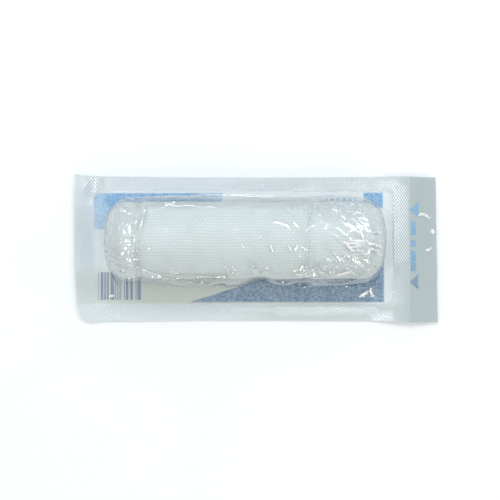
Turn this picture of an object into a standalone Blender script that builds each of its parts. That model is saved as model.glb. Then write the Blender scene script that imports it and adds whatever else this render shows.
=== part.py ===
# A stretch gauze bandage, wound into a roll and sealed in a flat peel pouch.
# The pouch is a printed paper sheet below and a clear film above, which is drawn down over the roll.
# Metres, +Z up. +X runs along the roll to the peel tab, and +Y to the pouch's back edge.
# The origin is in the middle of the pouch's outline, on the surface that it lies on.

import math

import bmesh
import bpy

# The bandage
ROLL_LENGTH = 0.1016  # the bandage's own width, four inches
ROLL_WIDTH = 0.0293
ROLL_HEIGHT = 0.0276  # a little less than the width, because the roll is soft
END_ROUNDING = 0.0080  # how far the outermost turn lies back from the roll's ends
END_FLAT = 0.40  # share of the radius over which an end stays flat
TURN_THICKNESS = 0.0020  # one wall here stands for the few layers of gauze that are wound as one
TURN_GAP = 0.0003
TAIL_STEP = 0.0007  # height of the step at the free end, which is one layer and its gap
TAIL_ANGLE = 40.0  # degrees from the back, where the free end lies
EYE_RADIUS = 0.0018  # the open middle that the winding spindle leaves

# The pouch
PAPER_THICKNESS = 0.0003
FILM_THICKNESS = 0.0003
SEAL_GAP = 0.0003  # between the paper and what lies on it
FILM_CLEARANCE = 0.0004  # between the roll and the film over it
LEFT_SLACK = 0.0029  # from the roll to the inner edge of the seal, on each of four sides
RIGHT_SLACK = 0.0050
FRONT_SLACK = 0.0093
BACK_SLACK = 0.0034
LEFT_SEAL = 0.0108  # width of the sealed margin, on each of four sides
RIGHT_SEAL = 0.0065
FRONT_SEAL = 0.0074
BACK_SEAL = 0.0061
TAB_LENGTH = 0.0106  # the unsealed tab past the right seal
SEAL_CORNER = 0.0042  # radius of the seal's inner corners
CUT_CORNER = 0.0006  # radius of the pouch's own corners
WORN_CORNER = 0.0062  # radius of the left front corner, which is rounded off
EDGE_PULL = 0.0006  # how far the long edges are drawn in at the middle
LEFT_LIFT = 0.0046  # how far the left edge curls up at its back corner
FRONT_CURL = 0.55  # share of that height at its front corner
RIGHT_LIFT = 0.0024  # how far the right seal is drawn up
TAB_DROOP = 0.6  # share of that height that the tab loses again at its edge
FILM_TAB_LIFT = 0.0009  # how far the film's tab stands clear of the paper's at the front
BACK_TAB_LIFT = 0.3  # share of that height at the back
GATHER_DEPTH = 0.0006  # depth of the gathers in the film round each end of the roll
GATHERS = 5

# Dents round the roll, from its left end. The places and widths are shares of the roll's length,
# and the depth is a share of its radius. Each is deepest at its angle, in degrees from the back
# over the top, and keeps the share that is given by all_round on the far side.
DENTS = (
    {"at": 0.112, "half_width": 0.030, "depth": 0.045, "angle": 90.0, "all_round": 0.7},
    {"at": 0.554, "half_width": 0.055, "depth": 0.070, "angle": 170.0, "all_round": 0.2},
    {"at": 0.724, "half_width": 0.030, "depth": 0.035, "angle": 90.0, "all_round": 0.7},
)

# Where the film comes down to the paper at the front. The places are shares of the roll's length,
# and the reach is a share of the front slack, measured from the roll's side.
FRONT_FOOT = (
    {"at": 0.00, "reach": 0.30},
    {"at": 0.10, "reach": 0.16},
    {"at": 0.25, "reach": 0.26},
    {"at": 0.45, "reach": 0.42},
    {"at": 0.55, "reach": 0.20},
    {"at": 0.72, "reach": 0.34},
    {"at": 1.00, "reach": 0.42},
)
SIDE_REACH = 0.40  # the same share at the back and at both ends

# The film from the roll's widest line down to the paper. The reach is a share of the foot's,
# and the height a share of the height of that line.
SKIRT = (
    {"reach": 0.10, "height": 0.74},
    {"reach": 0.40, "height": 0.38},
    {"reach": 0.80, "height": 0.10},
    {"reach": 1.00, "height": 0.02},
)

CURL_POWER = 1.7  # 1 would be a straight slope up to the left edge, and more bends it upwards
UNDER_END = 0.7  # share of the end's rounding over which the paper has left the surface
MARGIN_RINGS = (0.34, 0.67, 1.0)  # places across the sealed margin, from its outer edge
FLAT_HALF_WIDTH = 0.30  # share of the roll's width on which it presses the paper flat

# Number of flat facets
TURN_FACETS = 28
SIDE_FACETS = 4  # along the roll, between two dents
END_FACETS = 20
CROWN_FACETS = 6  # from the roll's widest line to the top of the film

LEFT = -0.5 * (
    LEFT_SEAL + LEFT_SLACK + ROLL_LENGTH + RIGHT_SLACK + RIGHT_SEAL + TAB_LENGTH
)
FRONT = -0.5 * (FRONT_SEAL + FRONT_SLACK + ROLL_WIDTH + BACK_SLACK + BACK_SEAL)
ROLL_LEFT = LEFT + LEFT_SEAL + LEFT_SLACK
ROLL_RIGHT = ROLL_LEFT + ROLL_LENGTH
ROLL_Y = FRONT + FRONT_SEAL + FRONT_SLACK + 0.5 * ROLL_WIDTH
ROLL_Z = PAPER_THICKNESS + SEAL_GAP + 0.5 * ROLL_HEIGHT
OUTLINE = {"left": LEFT, "right": -LEFT, "front": FRONT, "back": -FRONT}
SEAL_EDGE = {
    "left": ROLL_LEFT - LEFT_SLACK,
    "right": ROLL_RIGHT + RIGHT_SLACK,
    "front": ROLL_Y - 0.5 * ROLL_WIDTH - FRONT_SLACK,
    "back": ROLL_Y + 0.5 * ROLL_WIDTH + BACK_SLACK,
}


def smooth(share):
    """Goes from 0 to 1 with no corner at either end."""
    share = min(max(share, 0.0), 1.0)
    return share * share * (3.0 - 2.0 * share)


def mixed(a, b, share):
    return tuple(p + (q - p) * share for p, q in zip(a, b))


def read_table(rows, column, at):
    """The value of a column at a place, eased between the rows on either side."""
    if at <= rows[0]["at"]:
        return rows[0][column]
    for low, high in zip(rows, rows[1:]):
        if at <= high["at"]:
            share = smooth((at - low["at"]) / (high["at"] - low["at"]))
            return low[column] + (high[column] - low[column]) * share
    return rows[-1][column]


def squeeze(x, angle):
    """What the dents leave of the roll's radius at a place along it, at an angle in radians."""
    along = (x - ROLL_LEFT) / ROLL_LENGTH
    left = 1.0
    for dent in DENTS:
        off = abs(along - dent["at"]) / dent["half_width"]
        facing = 0.5 + 0.5 * math.cos(angle - math.radians(dent["angle"]))
        strength = dent["all_round"] + (1.0 - dent["all_round"]) * facing
        left -= dent["depth"] * strength * smooth(1.0 - off)
    return left


def end_share(radius_share, flat):
    """How far out an end reaches at a share of the radius: 1 on its flat middle, 0 at the outside."""
    off = min(max((radius_share - flat) / (1.0 - flat), 0.0), 1.0)
    return math.sqrt(1.0 - off * off)


def sheet_lift(x, y):
    """Height of the paper's underside: flat under the roll, curled up at the left, drawn up at the right."""
    back_share = (y - FRONT) / (-2.0 * FRONT)
    curl = max(0.0, (SEAL_EDGE["left"] - x) / LEFT_SEAL) ** CURL_POWER
    lift = LEFT_LIFT * curl * (FRONT_CURL + (1.0 - FRONT_CURL) * back_share)
    crest = SEAL_EDGE["right"] + RIGHT_SEAL
    start = ROLL_RIGHT - UNDER_END * END_ROUNDING
    rise = smooth((x - start) / (crest - start))
    droop = TAB_DROOP * smooth((x - crest) / (-LEFT - crest))
    return lift + RIGHT_LIFT * rise * (1.0 - droop)


def new_object(name, mesh, colour, roughness, alpha=1.0):
    """Adds a mesh to the model's collection, with a material of its own."""
    thing = bpy.data.objects.new(name, mesh)
    bpy.data.collections[COLLECTION].objects.link(thing)
    material = bpy.data.materials.new(name)
    material.use_nodes = True
    shader = material.node_tree.nodes["Principled BSDF"]
    shader.inputs["Base Color"].default_value = (*colour, 1.0)
    shader.inputs["Roughness"].default_value = roughness
    shader.inputs["Metallic"].default_value = 0.0
    shader.inputs["Alpha"].default_value = alpha
    mesh.materials.append(material)
    mesh.shade_smooth()
    mesh.set_sharp_from_angle(angle=math.radians(50.0))
    return thing


def shaped_grid(name, columns, rows, place):
    """A grid whose points are put where place(column, row) says. Points that meet become one."""
    shape = bmesh.new()
    bmesh.ops.create_grid(shape, x_segments=columns, y_segments=rows, size=1.0)
    for point in shape.verts:
        column = round((point.co.x + 1.0) * 0.5 * columns)
        row = round((point.co.y + 1.0) * 0.5 * rows)
        point.co = place(column, row)
    bmesh.ops.remove_doubles(shape, verts=shape.verts, dist=1e-6)
    mesh = bpy.data.meshes.new(name)
    shape.to_mesh(mesh)
    shape.free()
    return mesh


# The wound bandage: one long strip, spiralled round an open eye


def turn_radius(angle):
    """Outer radius of the strip at an angle in radians, counted inwards from the free end."""
    turns = angle / (2.0 * math.pi)
    pitch = TURN_THICKNESS + TURN_GAP
    return 0.5 * ROLL_WIDTH - TAIL_STEP * min(turns, 1.0) - pitch * max(turns - 1.0, 0.0)


def roll_stations():
    """Places along the roll, as shares of its length: both ends, and each dent with its two edges."""
    found = [0.0, 1.0]
    for dent in DENTS:
        found += [dent["at"] - dent["half_width"], dent["at"], dent["at"] + dent["half_width"]]
    return sorted(found)


def gauze_roll():
    flatness = ROLL_HEIGHT / ROLL_WIDTH
    step = 2.0 * math.pi / TURN_FACETS
    wound = 0.5 * ROLL_WIDTH - TAIL_STEP - TURN_THICKNESS - EYE_RADIUS
    facets = TURN_FACETS + int(wound / (TURN_THICKNESS + TURN_GAP) * TURN_FACETS)
    stations = roll_stations()

    def place(column, row):
        spiral = column * step
        angle = math.radians(TAIL_ANGLE) + spiral
        radius = turn_radius(spiral)
        lies_back = END_ROUNDING * (1.0 - end_share(radius / (0.5 * ROLL_WIDTH), END_FLAT))
        x = ROLL_LEFT + stations[row] * ROLL_LENGTH
        x = min(max(x, ROLL_LEFT + lies_back), ROLL_RIGHT - lies_back)
        radius *= squeeze(x, angle)
        return (
            x,
            ROLL_Y + radius * math.cos(angle),
            ROLL_Z + radius * math.sin(angle) * flatness,
        )

    mesh = shaped_grid("gauze_roll", facets, len(stations) - 1, place)
    roll = new_object("gauze_roll", mesh, (0.86, 0.89, 0.90), 0.95)

    # The strip is as thick as the space down to the next turn allows, so it is thin at its free end.
    group = roll.vertex_groups.new(name="thickness")
    for point in mesh.vertices:
        sideways = (point.co.y - ROLL_Y) / ROLL_WIDTH
        upwards = (point.co.z - ROLL_Z) / ROLL_HEIGHT
        angle = math.atan2(upwards, sideways)
        column = nearest_column(point.co, facets, step, flatness)
        drop = turn_radius(column * step) - turn_radius((column + TURN_FACETS) * step)
        local = drop * math.hypot(math.cos(angle), math.sin(angle) * flatness)
        local *= squeeze(point.co.x, angle)
        group.add([point.index], (local - TURN_GAP) / TURN_THICKNESS, "REPLACE")
    wall = roll.modifiers.new("wall", "SOLIDIFY")
    wall.thickness = TURN_THICKNESS
    wall.vertex_group = "thickness"
    wall.offset = -1.0
    return roll


def nearest_column(point, facets, step, flatness):
    """Which facet line of the spiral a point lies on."""
    sideways = point.y - ROLL_Y
    upwards = (point.z - ROLL_Z) / flatness
    angle = math.atan2(upwards, sideways)
    radius = math.hypot(sideways, upwards) / squeeze(point.x, angle)
    first = round((angle - math.radians(TAIL_ANGLE)) / step) % TURN_FACETS
    lines = range(first, facets + 1, TURN_FACETS)
    return min(lines, key=lambda line: abs(turn_radius(line * step) - radius))


# The two sheets of the pouch are made of rings, each with the same number of points:
# along the front, round the right end, along the back and round the left end.


def side_stations():
    """Places along the straight part of the roll, as shares of it, close enough together for every dent."""
    straight = ROLL_LENGTH - 2.0 * END_ROUNDING
    places = [(s * ROLL_LENGTH - END_ROUNDING) / straight for s in roll_stations()[1:-1]]
    places = [0.0] + [p for p in places if 0.0 < p < 1.0] + [1.0]
    longest = 1.0 / (SIDE_FACETS * len(DENTS))
    found = []
    for low, high in zip(places, places[1:]):
        parts = max(1, math.ceil((high - low) / longest))
        found += [low + (high - low) * i / parts for i in range(parts)]
    return found + [1.0]


def ring_places():
    """Each point of a ring, as its stretch and how far along that stretch it lies."""
    sides = side_stations()
    turns = [i / END_FACETS for i in range(1, END_FACETS)]
    return (
        [("front", s) for s in sides]
        + [("right", t) for t in turns]
        + [("back", 1.0 - s) for s in reversed(sides)]
        + [("left", t) for t in turns]
        + [("front", 0.0)]
    )


def box_ring(box, corners):
    """A ring along a box. The corners are radii: left front, right front, right back, left back."""
    left_front, right_front, right_back, left_back = corners
    middle = 0.5 * (box["front"] + box["back"])
    half = 0.5 * (box["back"] - box["front"])
    points = []
    for stretch, share in ring_places():
        if stretch == "front":
            low, high = box["left"] + left_front, box["right"] - right_front
            points.append((low + (high - low) * share, box["front"]))
        elif stretch == "back":
            low, high = box["right"] - right_back, box["left"] + left_back
            points.append((low + (high - low) * share, box["back"]))
        else:
            across = -math.cos(share * math.pi) * (1.0 if stretch == "right" else -1.0)
            if stretch == "right":
                radius = right_front if across < 0.0 else right_back
                x = box["right"] - radius * (1.0 - end_share(abs(across), 1.0 - radius / half))
            else:
                radius = left_front if across < 0.0 else left_back
                x = box["left"] + radius * (1.0 - end_share(abs(across), 1.0 - radius / half))
            points.append((x, middle + half * across))
    return points


def crown_ring(rise):
    """A ring round the film over the roll, at an angle in radians above the roll's widest line."""
    half_width = 0.5 * ROLL_WIDTH + FILM_CLEARANCE
    half_height = 0.5 * ROLL_HEIGHT + FILM_CLEARANCE
    straight_left = ROLL_LEFT + END_ROUNDING
    straight_right = ROLL_RIGHT - END_ROUNDING
    points = []
    for stretch, share in ring_places():
        up = math.sin(rise)
        across = math.cos(rise)
        if stretch in ("front", "back"):
            across *= -1.0 if stretch == "front" else 1.0
            share = share if stretch == "front" else 1.0 - share
            x = straight_left + (straight_right - straight_left) * share
        else:
            turn = share * math.pi
            side = 1.0 if stretch == "right" else -1.0
            across *= -math.cos(turn) * side
            reach = end_share(min(math.hypot(across, up), 1.0), END_FLAT)
            gather = 0.5 - 0.5 * math.cos(2.0 * GATHERS * turn)
            depth = (END_ROUNDING + FILM_CLEARANCE) * reach
            depth += GATHER_DEPTH * gather * reach * math.cos(rise)
            x = (straight_right if side > 0.0 else straight_left) + side * depth
        left = squeeze(x, math.atan2(up, across))
        points.append((x, ROLL_Y + half_width * across * left, ROLL_Z + half_height * up * left))
    return points


def foot_reach(stretch, share, x):
    """How far out the film comes down to the paper: even at the back, and easing into the front's at each end."""
    front = read_table(FRONT_FOOT, "reach", (x - ROLL_LEFT) / ROLL_LENGTH)
    towards_front = {"front": 1.0, "right": 1.0 - share, "back": 0.0, "left": share}[stretch]
    return SIDE_REACH + (front - SIDE_REACH) * smooth(towards_front)


def seal_rings():
    """The rings that paper and film share, from the outline to the seal's inner edge."""
    cut = box_ring(OUTLINE, (WORN_CORNER, CUT_CORNER, CUT_CORNER, CUT_CORNER))
    drawn = []
    for x, y in cut:
        bow = EDGE_PULL * (1.0 - (x / LEFT) ** 2)
        drawn.append((x, y * (1.0 - bow / abs(FRONT))))
    inner = box_ring(SEAL_EDGE, (SEAL_CORNER,) * 4)
    margin = [[mixed(a, b, share) for a, b in zip(drawn, inner)] for share in MARGIN_RINGS]
    return [drawn] + margin


def floor_ring():
    """A ring inside the seal, halfway from the film's foot to the seal's edge."""
    side = crown_ring(0.0)
    seal = seal_rings()[-1]
    places = ring_places()
    ring = []
    for (stretch, along), low, high in zip(places, side, seal):
        foot = mixed(low[:2], high, foot_reach(stretch, along, low[0]))
        ring.append(mixed(foot, high, 0.5))
    return ring


def backing_paper():
    corner = FLAT_HALF_WIDTH * ROLL_WIDTH
    under_roll = {
        "left": ROLL_LEFT + UNDER_END * END_ROUNDING,
        "right": ROLL_RIGHT - UNDER_END * END_ROUNDING,
        "front": ROLL_Y - corner,
        "back": ROLL_Y + corner,
    }
    rings = seal_rings() + [floor_ring(), box_ring(under_roll, (corner,) * 4)]
    first, last = under_roll["left"] + corner, under_roll["right"] - corner
    rings.append([(min(max(x, first), last), ROLL_Y) for x, _ in rings[-1]])

    def place(column, row):
        x, y = rings[row][column]
        return (x, y, sheet_lift(x, y))

    mesh = shaped_grid("backing_paper", len(rings[0]) - 1, len(rings) - 1, place)
    paper = new_object("backing_paper", mesh, (0.78, 0.83, 0.86), 0.8)
    wall = paper.modifiers.new("sheet", "SOLIDIFY")
    wall.thickness = PAPER_THICKNESS
    wall.offset = 1.0
    return paper


def clear_film():
    laid = PAPER_THICKNESS + SEAL_GAP
    tab_start = SEAL_EDGE["right"] + RIGHT_SEAL
    rings = []
    for ring in seal_rings() + [floor_ring()]:
        placed = []
        for x, y in ring:
            loose = smooth((x - tab_start) / (-LEFT - tab_start))
            front_share = 0.5 - 0.5 * y / abs(FRONT)
            clear = FILM_TAB_LIFT * loose * (BACK_TAB_LIFT + (1.0 - BACK_TAB_LIFT) * front_share)
            placed.append((x, y, sheet_lift(x, y) + laid + clear))
        rings.append(placed)

    side = crown_ring(0.0)
    seal = rings[-2]
    places = ring_places()
    for row in reversed(SKIRT):
        ring = []
        for (stretch, along), top, low in zip(places, side, seal):
            share = row["reach"] * foot_reach(stretch, along, top[0])
            x, y, _ = mixed(top, low, share)
            foot = sheet_lift(x, y) + laid
            ring.append((x, y, foot + (top[2] - foot) * row["height"]))
        rings.append(ring)
    for step in range(CROWN_FACETS + 1):
        rings.append(crown_ring(0.5 * math.pi * step / CROWN_FACETS))

    mesh = shaped_grid(
        "clear_film", len(side) - 1, len(rings) - 1, lambda column, row: rings[row][column]
    )
    film = new_object("clear_film", mesh, (0.90, 0.94, 0.96), 0.15, alpha=0.35)
    wall = film.modifiers.new("sheet", "SOLIDIFY")
    wall.thickness = FILM_THICKNESS
    wall.offset = 1.0
    return film


COLLECTION = "gauze_bandage_in_peel_pouch"
for old in list(bpy.data.objects):
    bpy.data.objects.remove(old)
bpy.context.scene.collection.children.link(bpy.data.collections.new(COLLECTION))
gauze_roll()
backing_paper()
clear_film()
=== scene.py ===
import math

import bmesh
import bpy
import numpy as np
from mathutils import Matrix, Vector


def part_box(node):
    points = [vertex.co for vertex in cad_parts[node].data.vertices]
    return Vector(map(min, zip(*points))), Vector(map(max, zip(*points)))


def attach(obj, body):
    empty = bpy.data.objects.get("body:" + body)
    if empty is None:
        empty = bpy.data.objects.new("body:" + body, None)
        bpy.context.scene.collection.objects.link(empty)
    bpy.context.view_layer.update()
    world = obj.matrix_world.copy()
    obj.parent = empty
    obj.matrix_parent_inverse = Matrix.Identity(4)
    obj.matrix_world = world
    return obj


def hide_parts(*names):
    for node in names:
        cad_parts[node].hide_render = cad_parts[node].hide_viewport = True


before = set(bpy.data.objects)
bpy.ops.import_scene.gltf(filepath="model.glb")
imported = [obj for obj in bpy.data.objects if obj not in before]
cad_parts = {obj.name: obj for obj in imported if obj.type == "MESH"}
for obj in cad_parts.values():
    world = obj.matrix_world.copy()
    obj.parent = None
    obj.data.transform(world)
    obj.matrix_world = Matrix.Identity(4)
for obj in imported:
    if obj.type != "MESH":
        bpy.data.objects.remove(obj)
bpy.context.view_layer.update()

mm = 0.001
paperLow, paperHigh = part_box("backing_paper")
rollLow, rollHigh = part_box("gauze_roll")

pouch = {
    "left": paperLow.x,
    "right": paperHigh.x,
    "front": paperLow.y,
    "back": paperHigh.y,
    "sealLeft": 10.8 * mm,    # widths of the sealed margin
    "sealRight": 6.5 * mm,
    "sealFront": 7.4 * mm,
    "sealBack": 6.1 * mm,
    "tab": 10.6 * mm,         # unsealed, past the right seal
    "sealCorner": 4.2 * mm,
    "wornCorner": 6.2 * mm,   # left front corner, rounded off
    "edgePull": 0.6 * mm,     # the long edges bow in by this much
    "tabSlant": 0.9 * mm,     # the tab's edge leans in at the back by this much
    "tabDrop": 0.7 * mm,      # and its back edge comes forwards by this much
    "leftInset": 0.3 * mm,
    "leftSlant": 0.9 * mm,    # the left edge leans in at the front
    "cornerPull": 0.6 * mm,   # the left back corner points outwards
    "leftLift": 4.6 * mm,
    "frontCurl": 0.55,
    "curlPower": 1.7,
    "rightLift": 2.4 * mm,
    "tabDroop": 0.6,
    "cockle": 0.12 * mm,      # slow waves in the margins
    "cup": 0.45 * mm,         # the margins' outer edges turn up
    "filmTabLift": 0.9 * mm,
    "tabLip": 0.30 * mm,      # the film's cut edge turns down a little
    "paperThickness": 0.12 * mm,
    "weldGap": 0.05 * mm,     # film over paper, in the seal
}

knurl = {
    "pitch": 1.02 * mm,       # along the pouch, two steps of the sheets' grid
    "rowStep": 0.76 * mm,     # across it, one step
    "height": 0.055 * mm,
    "edge": 0.5 * mm,
    "faint": 0.40,            # share of the height away from the bands below
    "soft": 1.2 * mm,         # how far the bands fade
    "paintedGlint": 1.5,             # how bright its painted glint points are in the bands
    "paintedGlintAway": 0.07,        # and away from them
}

# where the knurl was pressed hardest, which also places its painted glint points and the painted shade
# between them: left, right, front and back of each band, and its strength
pressedBands = [
    (-8.0, 16.0, 22.8, 25.6, 0.40),
    (14.0, 54.0, 22.4, 26.4, 0.75),
    (-10.0, 10.0, -24.4, -22.0, 0.35),
    (8.0, 46.0, -24.9, -21.9, 0.66),
    (43.5, 52.0, -27.4, -23.4, 0.50),
    (51.8, 57.2, -5.0, 24.0, 0.75),
    (52.0, 54.0, -18.0, -4.0, 0.30),
    (-64.0, -58.0, 20.0, 28.0, 0.42),
    (-58.0, -51.0, -27.0, -22.0, 0.36),
]

roll = {
    "left": rollLow.x,
    "right": rollHigh.x,
    "width": 29.3 * mm,
    "height": 27.6 * mm,
    "endRounding": 8.0 * mm,
    "endFlat": 0.40,
    "tailStep": 0.7 * mm,     # drop at the bandage's free end
    "tailAngle": 40.0,        # degrees from the back
    "eye": 1.8 * mm,
    "eyeDepth": 7.0 * mm,
    "around": 324,            # facets, four to a course
    "courses": 81,
    "courseDrift": 0.22,      # how far a course strays, as a share of its width
    "walePitch": 1.5 * mm,
    "loopDrift": 0.25,        # the same for a loop along the roll
    "underEnd": 0.87,         # share of a turn from which the gauze is smoother, up to its free end
    "relief": 0.20 * mm,
    "waviness": 0.18 * mm,
    "turnPitch": 1.15 * mm,   # of the turns that show at the roll's ends
    "turnRelief": 0.30 * mm,
    "alongStep": 0.39 * mm,
}

# dents round the roll, as shares of its length and radius, and degrees from the back over the top
dents = [
    {"at": 0.112, "halfWidth": 0.030, "depth": 0.045, "angle": 90.0, "allRound": 0.7},
    {"at": 0.554, "halfWidth": 0.055, "depth": 0.058, "angle": 170.0, "allRound": 0.2},
    {"at": 0.724, "halfWidth": 0.030, "depth": 0.035, "angle": 90.0, "allRound": 0.7},
]


def ease(t):
    t = np.clip(t, 0.0, 1.0)
    return t * t * (3.0 - 2.0 * t)


def slowNoise(x, y, length, waves, rng):
    # smooth noise from a few sine waves, between -1 and 1 or so
    total = np.zeros(np.broadcast(x, y).shape)
    for _ in range(waves):
        turn, phase = rng.uniform(0, 2 * np.pi, 2)
        k = 2 * np.pi / (length * rng.uniform(0.7, 1.5))
        total += np.sin(k * (x * np.cos(turn) + y * np.sin(turn)) + phase)
    return total / math.sqrt(waves)


def solidNoise(points, length, waves, rng):
    # the same for points in space, so that it looks alike on flat and steep places
    total = np.zeros(points.shape[:-1])
    for _ in range(waves):
        way = rng.normal(size=3)
        k = 2 * np.pi / (length * rng.uniform(0.7, 1.5)) / np.linalg.norm(way)
        total += np.sin(points @ (k * way) + rng.uniform(0, 2 * np.pi))
    return total / math.sqrt(waves)


# the camera looks straight down on the film side
camera = {
    "height": 450 * mm,
    "sideways": -2.4 * mm,   # from the middle of the pouch
    "back": -0.4 * mm,
    "seenWidth": 190.2 * mm,  # what the picture's width takes in, on the floor
}


def addCamera():
    data = bpy.data.cameras.new("camera")
    data.sensor_width = 36.0
    data.lens = 36.0 * camera["height"] / camera["seenWidth"]
    data.clip_start = 10 * mm
    data.clip_end = 20.0
    thing = bpy.data.objects.new("camera", data)
    bpy.context.scene.collection.objects.link(thing)
    thing.location = (camera["sideways"], camera["back"], camera["height"])
    bpy.context.scene.camera = thing


addCamera()

rollY = 0.5 * (rollLow.y + rollHigh.y)
rollZ = rollLow.z + 0.5 * roll["height"]
rollLength = roll["right"] - roll["left"]
sealLeft = pouch["left"] + pouch["sealLeft"]
sealTab = pouch["right"] - pouch["tab"]       # outer edge of the right seal
sealRight = sealTab - pouch["sealRight"]
sealFront = pouch["front"] + pouch["sealFront"]
sealBack = pouch["back"] - pouch["sealBack"]


def squeeze(x, angle):
    # what the dents leave of the roll's radius
    along = (x - roll["left"]) / rollLength
    left = np.ones(np.broadcast(x, angle).shape)
    for dent in dents:
        off = np.abs(along - dent["at"]) / dent["halfWidth"]
        facing = 0.5 + 0.5 * np.cos(angle - math.radians(dent["angle"]))
        left -= dent["depth"] * (dent["allRound"] + (1 - dent["allRound"]) * facing) * ease(1 - off)
    return left


def endShare(radiusShare):
    # how far out an end reaches: 1 on its flat middle, 0 at the outside
    off = np.clip((radiusShare - roll["endFlat"]) / (1.0 - roll["endFlat"]), 0.0, 1.0)
    return np.sqrt(np.maximum(0.0, 1.0 - off * off))


def sheetLift(x, y):
    # the paper's underside: flat under the roll, curled up at the left, drawn up at the right
    backShare = (y - pouch["front"]) / (pouch["back"] - pouch["front"])
    curl = np.maximum(0.0, (sealLeft - x) / pouch["sealLeft"]) ** pouch["curlPower"]
    lift = pouch["leftLift"] * curl * (pouch["frontCurl"] + (1 - pouch["frontCurl"]) * backShare)
    start = roll["right"] - 0.7 * roll["endRounding"]
    rise = ease((x - start) / (sealTab - start))
    droop = pouch["tabDroop"] * ease((x - sealTab) / pouch["tab"])
    return lift + pouch["rightLift"] * rise * (1 - droop)


def intoSeal(x, y):
    # distance outwards from the seal's inner edge, which has round corners; negative inside
    cx, cy = 0.5 * (sealLeft + sealRight), 0.5 * (sealFront + sealBack)
    r = pouch["sealCorner"]
    qx = np.abs(x - cx) - (0.5 * (sealRight - sealLeft) - r)
    qy = np.abs(y - cy) - (0.5 * (sealBack - sealFront) - r)
    outside = np.hypot(np.maximum(qx, 0), np.maximum(qy, 0))
    return outside + np.minimum(np.maximum(qx, qy), 0) - r


def sealMask(x, y):
    inner = ease(intoSeal(x, y) / knurl["edge"])
    return inner * (1 - ease((x - sealTab + knurl["edge"]) / knurl["edge"]))


# Both sheets share one grid over the margins, with a rectangular hole in it.
# From the hole's edge, rings go inwards over the hollow.
columns = round((pouch["right"] - pouch["left"]) / (0.5 * knurl["pitch"]))
rows = round((pouch["back"] - pouch["front"]) / knurl["rowStep"])
gridX = np.linspace(pouch["left"], pouch["right"], columns + 1)
gridY = np.linspace(pouch["front"], pouch["back"], rows + 1)
holeInset = 0.3 * pouch["sealCorner"]
hole = (
    int(np.searchsorted(gridX, sealLeft + holeInset)),
    int(np.searchsorted(gridX, sealRight - holeInset)),
    int(np.searchsorted(gridY, sealFront + holeInset)),
    int(np.searchsorted(gridY, sealBack - holeInset)),
)


def warpedGrid():
    # the grid's points in plan, pulled to the pouch's real outline
    x, y = np.meshgrid(gridX, gridY)
    r = pouch["wornCorner"]
    u = np.clip((pouch["left"] + r - x) / r, 0, 1)
    v = np.clip((pouch["front"] + r - y) / r, 0, 1)
    x = x + r * u * (1 - np.sqrt(1 - 0.5 * v * v))
    y = y + r * v * (1 - np.sqrt(1 - 0.5 * u * u))
    bow = pouch["edgePull"] * (1 - (x / pouch["left"]) ** 2)
    toBack = np.clip((y - sealBack) / pouch["sealBack"], 0, 1)
    toFront = np.clip((sealFront - y) / pouch["sealFront"], 0, 1)
    y = y - bow * toBack + bow * toFront
    toTab = np.clip((x - sealRight) / (pouch["right"] - sealRight), 0, 1)
    backShare = (y - pouch["front"]) / (pouch["back"] - pouch["front"])
    x = x - pouch["tabSlant"] * toTab * backShare
    toLeft = np.clip((sealLeft - x) / pouch["sealLeft"], 0, 1)
    x = x + toLeft * (pouch["leftInset"] + pouch["leftSlant"] * np.clip(-y / (20 * mm), 0, 1) ** 2)
    y = y + pouch["cornerPull"] * toLeft ** 3 * toBack
    y = y - pouch["tabDrop"] * toTab * toBack
    return x, y


planX, planY = warpedGrid()


def holeLoop():
    # the hole's edge, point by point: front, right end, back, left end
    i0, i1, j0, j1 = hole
    loop = [(i, j0) for i in range(i0, i1)]
    loop += [(i1, j) for j in range(j0, j1)]
    loop += [(i, j1) for i in range(i1, i0, -1)]
    loop += [(i0, j) for j in range(j1, j0, -1)]
    return loop


loop = holeLoop()
loopCount = len(loop)
ringCount = 2 * loopCount     # the rings are twice as fine as the grid


def ringPlaces():
    # each ring point's stretch (0 front, 1 right, 2 back, 3 left) and how far along it lies
    i0, i1, j0, j1 = hole
    stretch, share = [], []
    for which, steps in enumerate((i1 - i0, j1 - j0, i1 - i0, j1 - j0)):
        stretch += [which] * (2 * steps)
        share += [k / (2 * steps) for k in range(2 * steps)]
    return np.array(stretch), np.array(share)


stretch, share = ringPlaces()
loopX = np.array([planX[j, i] for i, j in loop])
loopY = np.array([planY[j, i] for i, j in loop])
edgeX = np.stack([loopX, 0.5 * (loopX + np.roll(loopX, -1))], axis=1).reshape(-1)
edgeY = np.stack([loopY, 0.5 * (loopY + np.roll(loopY, -1))], axis=1).reshape(-1)


def crownRing(rise):
    # a ring on the roll's rounded top, at an angle above its widest line
    halfWidth = 0.5 * roll["width"] + film["clearance"]
    halfHeight = 0.5 * roll["height"] + film["clearance"]
    straightLeft = roll["left"] + roll["endRounding"]
    straightRight = roll["right"] - roll["endRounding"]
    up = np.full(ringCount, math.sin(rise))
    across = np.choose(stretch, [-np.ones(ringCount), -np.cos(share * np.pi),
                                 np.ones(ringCount), np.cos(share * np.pi)]) * math.cos(rise)
    reach = endShare(np.minimum(np.hypot(across, up), 1.0))
    depth = (roll["endRounding"] + film["clearance"]) * reach
    x = np.choose(stretch, [straightLeft + (straightRight - straightLeft) * share,
                            straightRight + depth,
                            straightRight - (straightRight - straightLeft) * share,
                            straightLeft - depth])
    left = squeeze(x, np.arctan2(up, across))
    return np.stack([x, rollY + halfWidth * across * left, rollZ + halfHeight * up * left], axis=1)


def footReach():
    # how far out the film meets the paper, as a share of the way to the hole's edge
    along = (crownRing(0.0)[:, 0] - roll["left"]) / rollLength
    places, reaches = np.array(frontFoot).T
    front = np.interp(along, places, reaches)
    towardsFront = np.choose(stretch, [np.ones(ringCount), 1 - share, np.zeros(ringCount), share])
    return film["sideReach"] + (front - film["sideReach"]) * ease(towardsFront)


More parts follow.
